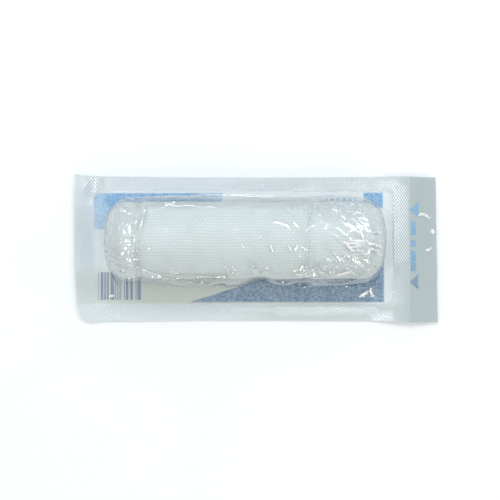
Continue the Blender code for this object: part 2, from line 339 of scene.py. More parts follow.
def tabClear(x, y):
    # the film's tab stands off the paper's, most at the front
    loose = ease((x - sealTab) / pouch["tab"])
    frontShare = (pouch["back"] - y) / (pouch["back"] - pouch["front"])
    return pouch["filmTabLift"] * loose * (0.3 + 0.7 * frontShare)


cockleRng = np.random.default_rng(7)
cockleWaves = [(cockleRng.uniform(14, 34) * mm, cockleRng.uniform(0, 2 * np.pi),
                cockleRng.uniform(0, 2 * np.pi)) for _ in range(7)]


def cockle(x, y):
    # slow waves in the margins, which fade out towards the roll
    waves = sum(np.sin(2 * np.pi / size * (x * math.cos(turn) + y * math.sin(turn)) + phase)
                for size, turn, phase in cockleWaves) / math.sqrt(len(cockleWaves))
    into = intoSeal(x, y)
    lift = pouch["cockle"] * (1 + 0.7 * waves) * ease((into + 2 * mm) / (6 * mm))
    return lift + pouch["cup"] * np.clip(into / (7 * mm), 0, 1.2) ** 2


def sheetHeight(x, y):
    return sheetLift(x, y) + cockle(x, y)


def pressed(x, y):
    # the knurl's depth, from faint to full
    def between(place, low, high):
        inside = np.minimum(place - low * mm, high * mm - place)
        return ease((inside + knurl["soft"]) / (2 * knurl["soft"]))

    depth = np.full(np.shape(x), knurl["faint"])
    for left, right, front, back, strength in pressedBands:
        depth += strength * between(x, left, right) * between(y, front, back)
    return depth


gridRow, gridColumn = np.indices(planX.shape)
checker = np.where((gridRow + gridColumn) % 2 == 0, 1.0, -1.0)
knurlHeight = knurl["height"] * pressed(planX, planY) * checker * sealMask(planX, planY)


def margins():
    # index of each grid point outside the hole, and the faces between them
    i0, i1, j0, j1 = hole
    inside = np.zeros((rows + 1, columns + 1), bool)
    inside[j0 + 1:j1, i0 + 1:i1] = True
    index = np.full(inside.shape, -1)
    index[~inside] = np.arange((~inside).sum())
    faces = []
    for j in range(rows):
        for i in range(columns):
            if i0 <= i < i1 and j0 <= j < j1:
                continue
            corners = (index[j, i], index[j, i + 1], index[j + 1, i + 1], index[j + 1, i])
            if checker[j, i] > 0:      # the knurl's ridges join its high points
                faces += [(corners[0], corners[1], corners[2]), (corners[0], corners[2], corners[3])]
            else:
                faces += [(corners[0], corners[1], corners[3]), (corners[1], corners[2], corners[3])]
    return ~inside, index, np.array(faces)


outside, gridIndex, marginFaces = margins()
loopIndex = np.array([gridIndex[j, i] for i, j in loop])


def ringFaces(first, rings):
    # faces from the hole's edge over each ring, which turn inwards
    near = first + np.arange(ringCount)
    even, odd, nextEven = near[0::2], near[1::2], np.roll(near[0::2], -1)
    after = np.roll(loopIndex, -1)
    faces = np.stack([loopIndex, after, odd], axis=1).tolist()
    faces += np.stack([loopIndex, odd, even], axis=1).tolist()
    faces += np.stack([after, nextEven, odd], axis=1).tolist()
    for _ in range(1, rings):
        far = near + ringCount
        faces += np.stack([near, np.roll(near, -1), np.roll(far, -1), far], axis=1).tolist()
        near = far
    return faces


def makeMesh(name, points, faces, smooth, attributes=(), weld=False):
    mesh = bpy.data.meshes.new(name)
    mesh.from_pydata(points.tolist(), [], [tuple(int(i) for i in f) for f in faces])
    mesh.polygons.foreach_set("use_smooth", smooth)
    for label, values in attributes:
        layer = mesh.attributes.new(label, "FLOAT", "POINT")
        layer.data.foreach_set("value", np.asarray(values, np.float32))
    if weld:
        work = bmesh.new()
        work.from_mesh(mesh)
        bmesh.ops.remove_doubles(work, verts=work.verts, dist=0.0001 * mm)
        work.to_mesh(mesh)
        work.free()
    mesh.validate()
    mesh.update()
    thing = bpy.data.objects.new(name, mesh)
    bpy.context.scene.collection.objects.link(thing)
    return thing


def settle(thing, node, material):
    thing.data.materials.append(material)
    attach(thing, "root")
    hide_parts(node)


# materials
# the bandage's and the paper's colours are what the film lets through, so they are a little dark
finish = {
    "gauze": (0.78, 0.82, 0.81),
    # painted shade: the gauze is darker in the weave's valleys, between the turns at the roll's ends and
    # in its eye
    "gauzeValleyShade": (0.54, 0.59, 0.58),
    "gauzePatch": (0.72, 0.77, 0.80),
    "paper": (0.88, 0.93, 0.94),
    # painted shade: the roll's shadow in front of it, and the darker right part of the front seal
    "paperShade": (0.65, 0.70, 0.63),
    "paperDark": (0.68, 0.74, 0.74),
    # painted shade on the tab's top
    "tabPaperShade": (0.45, 0.52, 0.52),
    "print": (0.09, 0.40, 0.73),
    # painted shadow on the ink in front of the roll
    "printShadow": (0.0, 0.15, 0.33),
    "printUnder": (0.04, 0.20, 0.50),
    "printSoak": (0.50, 0.66, 0.78),    # the paper between the specks of ink
    "bars": (0.16, 0.24, 0.42),
    "filmTint": (0.80, 0.88, 0.91),
    "filmHaze": 0.12,
    "sealHaze": 0.37,
    "standOffHaze": 0.20,
    # painted shade: steep and bent parts of the film get this darker tint
    "steepShadeTint": (0.52, 0.62, 0.65),
    "steepShadeHaze": 0.17,
    "sealTint": (0.86, 0.93, 0.985),
    "sealValleyShade": (0.47, 0.58, 0.60),   # painted shade between the knurl's points
    "paintedGlint": (0.95, 0.99, 1.0),   # painted glints on the film's sharpest creases and the knurl's points
    "paintedGlintHaze": 0.85,
    "glintBandHaze": 0.52,
}

# the film's finest creases: their size in millimetres, how much longer they are, and their direction
fanStreaks = [(1.2, 8.0, -58), (1.2, 7.0, -10), (1.4, 6.0, -33)]
crumpleStreaks = [(1.6, 4.0, 62), (1.6, 4.0, -30)]

# how the film shines, and what its seal, its tab and the places that cling to the gauze add to that
filmShine = {
    "slantHaze": 0.35,        # it is less clear when seen at a slant
    "clingRough": 0.40,
    "sealRough": 0.16,
    "tabRough": 0.06,
    "index": 4.0,             # of refraction, high for bright glints
    "sealIndex": -1.8,
    "clingIndex": -2.0,
    "valleyShadeShare": 0.8,
    "creaseDepth": 0.12 * mm,
}


class Nodes:
    # a few short words for making the nodes of a material or of the sky
    def __init__(self, owner):
        owner.use_nodes = True
        self.owner = owner
        self.tree = owner.node_tree
        self.shader = self.tree.nodes.get("Principled BSDF")

    def new(self, kind, **settings):
        node = self.tree.nodes.new(kind)
        for key, value in settings.items():
            setattr(node, key, value)
        return node

    def link(self, source, socket):
        self.tree.links.new(source, socket)

    def feed(self, value, socket):
        if isinstance(value, (int, float)):
            socket.default_value = value
        elif isinstance(value, tuple):
            socket.default_value = (*value, 1.0)
        else:
            self.link(value, socket)

    def math(self, operation, a, b=0.0):
        node = self.new("ShaderNodeMath", operation=operation)
        self.feed(a, node.inputs[0])
        self.feed(b, node.inputs[1])
        return node.outputs[0]

    def chain(self, operation, values):
        found = values[0]
        for value in values[1:]:
            found = self.math(operation, found, value)
        return found

    def plus(self, *values):
        return self.chain("ADD", values)

    def times(self, *values):
        return self.chain("MULTIPLY", values)

    def least(self, *values):
        return self.chain("MINIMUM", values)

    def most(self, *values):
        return self.chain("MAXIMUM", values)

    def minus(self, a, b):
        return self.math("SUBTRACT", a, b)

    def ramp(self, value, low, high, out0=0.0, out1=1.0, kind="SMOOTHSTEP"):
        node = self.new("ShaderNodeMapRange", interpolation_type=kind)
        self.feed(value, node.inputs["Value"])
        self.feed(low, node.inputs["From Min"])
        self.feed(high, node.inputs["From Max"])
        node.inputs["To Min"].default_value = out0
        node.inputs["To Max"].default_value = out1
        return node.outputs["Result"]

    def mix(self, amount, a, b):
        node = self.new("ShaderNodeMix", data_type="RGBA")
        self.feed(amount, node.inputs["Factor"])
        self.feed(a, node.inputs["A"])
        self.feed(b, node.inputs["B"])
        return node.outputs["Result"]

    def split(self, vector):
        node = self.new("ShaderNodeSeparateXYZ")
        self.link(vector, node.inputs[0])
        return node.outputs

    def place(self):
        return self.new("ShaderNodeTexCoord").outputs["Object"]

    def noise(self, size, detail=3.0, stretch=None):
        place = self.place()
        if stretch:
            mapping = self.new("ShaderNodeMapping")
            mapping.inputs["Scale"].default_value = stretch
            self.link(place, mapping.inputs["Vector"])
            place = mapping.outputs["Vector"]
        node = self.new("ShaderNodeTexNoise")
        node.inputs["Scale"].default_value = 1.0 / size
        node.inputs["Detail"].default_value = detail
        self.link(place, node.inputs["Vector"])
        return node.outputs["Fac"]

    def streaks(self, size, longer, turn):
        # sharp creases, longer along a direction given in degrees
        mapping = self.new("ShaderNodeMapping", vector_type="TEXTURE")
        mapping.inputs["Rotation"].default_value = (0, 0, math.radians(turn))
        mapping.inputs["Scale"].default_value = (longer, 1, 1)
        self.link(self.place(), mapping.inputs["Vector"])
        node = self.new("ShaderNodeTexNoise", noise_type="RIDGED_MULTIFRACTAL")
        node.inputs["Scale"].default_value = 1.0 / size
        node.inputs["Detail"].default_value = 1.5
        self.link(mapping.outputs["Vector"], node.inputs["Vector"])
        return node.outputs["Fac"]

    def bump(self, height, distance, strength=1.0):
        node = self.new("ShaderNodeBump")
        node.inputs["Distance"].default_value = distance
        node.inputs["Strength"].default_value = strength
        self.feed(height, node.inputs["Height"])
        self.link(node.outputs["Normal"], self.shader.inputs["Normal"])

    def attribute(self, label):
        return self.new("ShaderNodeAttribute", attribute_name=label).outputs["Fac"]


def gauzeMaterial():
    m = Nodes(bpy.data.materials.new("stretchGauze"))
    fibre = m.noise(0.25 * mm, 4.0, (1.0, 2.2, 2.2))
    patch = m.noise(9 * mm, 2.0)
    # painted shade: darker in the weave's valleys, between the end turns and in the eye
    height = m.ramp(m.plus(m.attribute("weaveAndShade"), m.times(fibre, 0.35)), 0.1, 1.1)
    colour = m.mix(height, finish["gauzeValleyShade"], finish["gauze"])
    colour = m.mix(m.ramp(patch, 0.3, 0.7, 0.0, 0.25), colour, finish["gauzePatch"])
    m.feed(colour, m.shader.inputs["Base Color"])
    m.shader.inputs["Roughness"].default_value = 0.95
    m.shader.inputs["Specular IOR Level"].default_value = 0.2
    m.shader.inputs["Sheen Weight"].default_value = 0.25
    m.shader.inputs["Sheen Roughness"].default_value = 0.5
    m.bump(fibre, 0.10 * mm, 0.6)
    return m.owner


def filmMaterial():
    m = Nodes(bpy.data.materials.new("clearFilm"))
    seal = m.attribute("seal")
    tab = m.attribute("tab")
    cling = m.attribute("cling")
    steepShade = m.attribute("steepShade")
    glintBand = m.attribute("glintBand")
    # the film's haze, with painted shade where it is steep or bent
    haze = m.plus(
        m.times(m.attribute("frost"), finish["sealHaze"] - finish["filmHaze"]),
        m.times(m.attribute("standOff"), finish["standOffHaze"] - finish["filmHaze"]),
        finish["filmHaze"],
        m.times(steepShade, finish["steepShadeHaze"]),
    )
    fresnel = m.new("ShaderNodeFresnel")
    fresnel.inputs["IOR"].default_value = 1.5

    # painted glints: the knurl's points are white where it was pressed hardest, and so are the sharpest
    # creases; painted shade darkens the bands between the points
    across = m.math("COSINE", m.times(m.attribute("column"), math.pi))
    along = m.math("COSINE", m.times(m.attribute("row"), math.pi))
    points = m.times(m.ramp(m.times(across, along), 0.05, 0.60), glintBand)
    paintedGlint = m.most(m.ramp(m.attribute("paintedGlint"), 0.25, 0.95), points)
    alpha = m.plus(
        haze,
        m.times(fresnel.outputs[0], filmShine["slantHaze"]),
        m.times(paintedGlint, finish["paintedGlintHaze"]),
        m.times(glintBand, finish["glintBandHaze"]),
    )
    m.link(m.least(alpha, 1.0), m.shader.inputs["Alpha"])

    # painted shade: steep and bent film is tinted darker
    tint = m.mix(steepShade, finish["filmTint"], finish["steepShadeTint"])
    tint = m.mix(seal, tint, finish["sealTint"])
    # painted shade between the knurl's painted glint points
    tint = m.mix(m.times(glintBand, filmShine["valleyShadeShare"]), tint, finish["sealValleyShade"])
    m.link(m.mix(paintedGlint, tint, finish["paintedGlint"]), m.shader.inputs["Base Color"])

    rough = m.plus(
        m.ramp(m.noise(1.3 * mm, 3.0), 0.3, 0.7, 0.03, 0.07),
        m.times(cling, filmShine["clingRough"]),
        m.times(seal, filmShine["sealRough"]),
        m.times(tab, filmShine["tabRough"]),
    )
    m.link(rough, m.shader.inputs["Roughness"])
    m.link(m.minus(1.0, m.most(cling, seal)), m.shader.inputs["Coat Weight"])
    less = m.plus(m.times(seal, filmShine["sealIndex"]), m.times(cling, filmShine["clingIndex"]))
    m.link(m.plus(filmShine["index"], less), m.shader.inputs["IOR"])
    m.shader.inputs["Specular IOR Level"].default_value = 1.0
    m.shader.inputs["Coat Roughness"].default_value = 0.05

    fan = m.most(*[m.streaks(size * mm, longer, turn) for size, longer, turn in fanStreaks])
    crumple = m.most(*[m.streaks(size * mm, longer, turn) for size, longer, turn in crumpleStreaks])
    creases = m.plus(m.times(fan, m.attribute("fan")), m.times(crumple, m.attribute("crinkle")))
    m.bump(creases, filmShine["creaseDepth"])
    return m.owner


# the print on the paper's far side, in millimetres from the middle of the pouch
panels = [(-61.7, -13.0, 7.4, 21.2), (40.8, 48.0, 15.4, 21.4)]
wedge = {"left": -25.2, "low": -20.2, "right": 48.4, "slope": 0.316}
bars = {"left": -60.1, "right": -43.8, "low": -19.4, "high": -8.8, "step": 0.34}
arrows = {"tip": 57.8, "base": 61.2, "half": 3.1, "at": (14.7, -12.5)}
dashes = [(58.3, 60.3, 5.2, 10.2), (58.3, 60.3, 0.8, 3.4), (58.3, 60.3, -8.4, -0.8)]
rule = {"left": 26.4, "right": 37.8, "low": 18.2, "high": 19.6, "step": 2.3, "gap": 0.5}


# where the paper's painted shadow and shade, the ink's painted shadow and paler sheen, and the ink's
# strength change: from, to, and the strength at both, with places in millimetres along the pouch (x) or
# across it (y)
fades = {
    "rollShadowFront": (-13.0, -5.0, 1.0, 0.0),     # y, painted shadow of the roll on the paper in front of it
    "rollShadowLeftOfEnd": (38.0, 46.0, 1.0, 0.0),        # x, where that painted shadow ends at the right
    "rollShadowSealEdge": (-21.8, -20.2, 0.0, 1.0),     # y, where it ends at the front seal
    "sealShadeAcross": (-21.8, -20.2, 1.0, 0.0),         # y, painted shade on the front seal
    "sealShadeAlong": (-15.0, 10.0, 0.25, 0.95),     # x, that painted shade along the front seal, darker at the right
    "inkSheenLeft": (-60.0, -56.0, 0.55, 0.90),     # x, the ink, paler at the left, for the film's haze and a painted reflection of the sky
    "freshBack": (15.0, 18.0, 1.0, 1.25),       # y, the ink
    "inkShadowInFront": (-13.0, 0.0, 1.0, 0.0),       # y, painted shadow: the ink is darker in front of the roll
    "soakInFront": (-13.0, 0.0, 0.5, 0.0),      # y
    "specks": (0.40, 0.60, 0.45, 1.25),
    "clouds": (0.25, 0.75, 0.78, 1.0),
    "inkEdge": 0.04,
    "throughBlur": 0.30,    # the print is softer where it shows through
    "barsThrough": 0.90,
    "barShare": 0.45,       # of the bars' steps that stay bare
    "tabShadeStart": 9.5,      # painted shade: the paper's top darkens over this length before the tab
    "tabShadeShare": 0.86,
}


def paperMaterial():
    m = Nodes(bpy.data.materials.new("printedPaper"))
    place = m.split(m.place())
    x = m.math("DIVIDE", place[0], mm)
    y = m.math("DIVIDE", place[1], mm)
    facing = m.split(m.new("ShaderNodeNewGeometry").outputs["True Normal"])
    under = m.math("LESS_THAN", facing[2], 0.0)
    above = m.minus(1.0, under)

    def within(x0, x1, y0, y1):
        return m.least(m.minus(x, x0), m.minus(x1, x), m.minus(y, y0), m.minus(y1, y))

    shapes = [within(*panel) for panel in panels + dashes]
    line = m.minus(m.plus(m.times(m.minus(x, wedge["left"]), wedge["slope"]), wedge["low"]), y)
    shapes.append(m.least(line, m.minus(wedge["right"], x), m.minus(y, wedge["low"])))
    for at in arrows["at"]:
        half = m.times(m.minus(x, arrows["tip"]), arrows["half"] / (arrows["base"] - arrows["tip"]))
        away = m.math("ABSOLUTE", m.minus(y, at))
        shapes.append(m.least(m.minus(half, away), m.minus(arrows["base"], x)))
    tooth = m.minus(m.math("PINGPONG", x, 0.5 * rule["step"]), rule["gap"])
    shapes.append(m.least(within(rule["left"], rule["right"], rule["low"], rule["high"]), tooth))

    blur = m.plus(fades["inkEdge"], m.times(above, fades["throughBlur"]))
    ink = m.ramp(m.most(*shapes), m.times(blur, -1.0), blur)
    grain = m.plus(m.times(m.noise(0.32 * mm, 2.0), 0.75), m.times(m.noise(1.2 * mm, 2.0), 0.25))
    thin = m.times(m.ramp(grain, *fades["specks"]), m.ramp(m.noise(5 * mm, 2.0), *fades["clouds"]))
    # the ink is paler at the left, for the film's haze and a painted reflection of the sky
    inkSheenAndStrength = m.times(m.ramp(x, *fades["inkSheenLeft"]), m.ramp(y, *fades["freshBack"]))
    amount = m.plus(m.times(m.times(ink, thin), inkSheenAndStrength, above), m.times(ink, under))
    # painted shadow: the ink is darker in front of the roll
    inkColour = m.mix(m.ramp(y, *fades["inkShadowInFront"]), finish["print"], finish["printShadow"])
    inkColour = m.mix(under, inkColour, finish["printUnder"])

    stripe = m.new("ShaderNodeTexWhiteNoise", noise_dimensions="1D")
    m.link(m.math("FLOOR", m.math("DIVIDE", x, bars["step"])), stripe.inputs["W"])
    inBars = m.ramp(within(bars["left"], bars["right"], bars["low"], bars["high"]), 0.0, 0.1)
    barInk = m.times(m.math("GREATER_THAN", stripe.outputs["Value"], fades["barShare"]), inBars)
    barInk = m.times(barInk, m.ramp(under, 0.0, 1.0, fades["barsThrough"], 1.0))

    fibres = m.noise(0.8 * mm, 5.0, (1.0, 2.5, 1.0))
    # painted shade: the roll's shadow on the paper in front of it, and the front seal darker towards its
    # right
    front = m.times(m.ramp(y, *fades["rollShadowFront"]), m.ramp(x, *fades["rollShadowLeftOfEnd"]))
    front = m.times(front, m.ramp(y, *fades["rollShadowSealEdge"]))
    sealShade = m.times(m.ramp(y, *fades["sealShadeAcross"]), m.ramp(x, *fades["sealShadeAlong"]))
    base = m.mix(m.most(front, sealShade), finish["paper"], finish["paperShade"])
    base = m.mix(m.ramp(fibres, 0.3, 0.7, 0.0, 0.35), base, finish["paperDark"])
    # painted shade: the paper's top is darker on the tab and over the seal just before it
    tabStart = sealTab / mm
    loose = m.times(m.ramp(x, tabStart - fades["tabShadeStart"], tabStart), fades["tabShadeShare"])
    loose = m.plus(loose, m.ramp(x, tabStart - 0.2, tabStart + 0.3, 0.0, 1.0 - fades["tabShadeShare"]))
    base = m.mix(m.times(loose, above), base, finish["tabPaperShade"])
    soak = m.times(ink, m.ramp(y, *fades["soakInFront"]))
    base = m.mix(soak, base, finish["printSoak"])
    colour = m.mix(barInk, m.mix(amount, base, inkColour), finish["bars"])
    m.link(colour, m.shader.inputs["Base Color"])
    m.shader.inputs["Roughness"].default_value = 0.75
    m.shader.inputs["Specular IOR Level"].default_value = 0.3
    m.bump(fibres, 0.04 * mm, 0.5)
    return m.owner


def floorMaterial():
    m = Nodes(bpy.data.materials.new("paleFloor"))
    colour = m.mix(m.noise(60 * mm, 2.0), (0.93, 0.935, 0.94), (0.95, 0.955, 0.96))
    m.link(colour, m.shader.inputs["Base Color"])
    m.shader.inputs["Roughness"].default_value = 0.9
    m.shader.inputs["Specular IOR Level"].default_value = 0.1
    return m.owner


# the wound bandage
def gauzeRelief(x, theta, turnShare):
    # loops in courses round the roll, staggered from one course to the next
    course = turnShare * roll["courses"]
    turned = theta * 12 * mm
    course = course + roll["courseDrift"] * slowNoise(x, turned, 16 * mm, 6, np.random.default_rng(11))
    wander = roll["loopDrift"] * slowNoise(x, turned, 12 * mm, 6, np.random.default_rng(12))
    parity = np.floor(course + 0.5) % 2
    ridge = (0.5 + 0.5 * np.cos(2 * np.pi * course)) ** 1.3
    loops = 0.5 + 0.5 * np.cos(2 * np.pi * (x / roll["walePitch"] + 0.5 * parity + wander))
    strength = 0.75 + 0.25 * slowNoise(x, turned, 7 * mm, 6, np.random.default_rng(13))
    strength = strength * (1 - 0.7 * ease((turnShare - roll["underEnd"]) / 0.03))
    return ridge * (0.2 + 0.8 * loops) * strength


def gauzeRoll():
    print("winding the gauze")
    count = roll["around"]
    turnShare = np.arange(count + 1) / count
    theta = math.radians(roll["tailAngle"]) + 2 * np.pi * turnShare
    half = 0.5 * roll["width"]
    flat = roll["height"] / roll["width"]
    outer = half - roll["tailStep"] * turnShare
    firstX = roll["left"] + roll["endRounding"]
    lastX = roll["right"] - roll["endRounding"]
    bodyRows = round((lastX - firstX) / roll["alongStep"])
    bodyX = np.linspace(firstX, lastX, bodyRows + 1)

    # the profile from the left eye out over the rounded end, along the roll, and back to the right eye
    capShares = np.concatenate([
        np.linspace(roll["eye"] / half, roll["endFlat"], 9)[:-1],
        roll["endFlat"] + (1 - roll["endFlat"]) * np.sin(np.linspace(0, 0.5 * np.pi, 25)),
    ])[:-1]
    eyeRadius = roll["eye"] / half
    leftEnd = [
        (roll["left"] + roll["eyeDepth"], 0.02 * eyeRadius, 0.0),
        (roll["left"] + roll["eyeDepth"], eyeRadius, 0.0),
        (roll["left"] + 0.5 * roll["eyeDepth"], eyeRadius, 0.0),
    ]
    for radiusShare in capShares:
        liesBack = roll["endRounding"] * (1 - float(endShare(radiusShare)))
        leftEnd.append((roll["left"] + liesBack, radiusShare, 1.0))
    body = [(x, 1.0, 0.0) for x in bodyX]
    rightEnd = [(roll["right"] + roll["left"] - x, r, -end) for x, r, end in reversed(leftEnd)]
    profile = np.array(leftEnd + body + rightEnd)
    rowX, rowR, cap = profile.T[:, :, None]
    leftRows = len(leftEnd)
    onBody = np.zeros(rowX.shape)
    onBody[leftRows:leftRows + bodyRows + 1] = 1.0

    radius = outer[None, :] * rowR
    turns = radius / roll["turnPitch"] + turnShare[None, :]
    layer = np.abs((turns % 1.0) - 0.5) * 2
    fray = slowNoise(rowR * 40 * mm, theta[None, :] * 9 * mm, 3 * mm, 8, np.random.default_rng(21))
    layer = layer ** 0.7 + 0.18 * fray
    nearRim = ease((1.0 - rowR) / 0.12)
    x = rowX - cap * roll["turnRelief"] * (layer - 0.6) * nearRim
    weaveAndShade = gauzeRelief(x, theta[None, :], turnShare[None, :])
    rim = np.clip(np.minimum(rowX - roll["left"], roll["right"] - rowX) / roll["endRounding"], 0, 1)
    weaveAndShade = weaveAndShade * ease((rowR - 0.85) / 0.12) * (0.4 + 0.6 * ease(rim))
    wavy = slowNoise(x, theta[None, :] * 14 * mm, 22 * mm, 7, np.random.default_rng(22))
    radius = radius + (roll["relief"] * (weaveAndShade - 0.4) + roll["waviness"] * wavy) * ease((rowR - 0.5) / 0.4)
    radius = radius * squeeze(x, theta[None, :])
    y = rollY + radius * np.cos(theta)[None, :]
    z = rollZ + radius * np.sin(theta)[None, :] * flat
    z = np.maximum(z, rollLow.z)

    points = np.stack([x, y, z], axis=2).reshape(-1, 3)
    span = count + 1
    faces = []
    for r in range(len(profile) - 1):
        a = r * span + np.arange(span)
        b = a + span
        faces.append(np.stack([a, np.roll(a, -1), np.roll(b, -1), b], axis=1)[:, ::-1])
    faces = np.concatenate(faces)
    first = np.arange(span)
    last = (len(profile) - 1) * span + first
    ends = [tuple(first), tuple(last[::-1])]
    smooth = np.ones(len(faces) + 2, bool)
    # painted shade, read by the material: darker in the weave's valleys and between the turns at the ends
    turnShade = 0.45 + 0.45 * np.clip(layer, 0, 1)
    onEnd = ease((1.0 - rowR) / 0.15)
    shade = (0.25 + 0.75 * weaveAndShade) * (1 - onEnd) + turnShade * onEnd
    # painted shade: the eye gets the darkest gauze colour
    shade = shade * np.where((cap == 0) & (onBody == 0), 0.0, 1.0)
    thing = makeMesh("gauzeRoll", points, [*faces.tolist(), *ends], smooth, [("weaveAndShade", shade.reshape(-1))])
    settle(thing, "gauze_roll", gauzeMaterial())


# the clear film
film = {
    "clearance": 0.35 * mm,
    "floorRings": 10,
    "skirtRings": 22,
    "crownRings": 44,
    "sideReach": 0.40,        # where it meets the paper at the back and the ends, as a share of the slack
    "backHump": 1.1 * mm,     # it stands off the roll along the back
    "endTent": 0.7 * mm,      # and over the ends, less at the right one
    "frontBulge": 1.6 * mm,   # and in two long bulges along the front
    "fineRelief": 0.018 * mm,
    "foldHeight": 0.75,       # the folds below are scaled by this
    "scatterHeight": 0.55,
    "paintedGlintWidth": 0.75 * mm,  # of the painted glint along a sharp fold
    "creaseShade": 11.0,       # painted shade: how fast a bend makes the film darker and less clear
    "plainLeft": -62.5 * mm,  # the print shows well through this part of the left seal
    "plainRight": -54.0 * mm,
    "plainReach": 21.8 * mm,  # from the middle line
    "tabWave": 0.04 * mm,
    "lipWidth": 1.2 * mm,     # the tab's edge, which is torn a little at the front
    "tornAbove": 0.4,
    "tornGlint": 0.9,
    "spotRadius": 0.9 * mm,   # of the small dents in the tab
}

# where the film meets the paper at the front: share of the roll's length, share of the slack
frontFoot = [
    (0.00, 0.30), (0.10, 0.16), (0.25, 0.26), (0.45, 0.42), (0.55, 0.25), (0.72, 0.34), (1.00, 0.42),
]

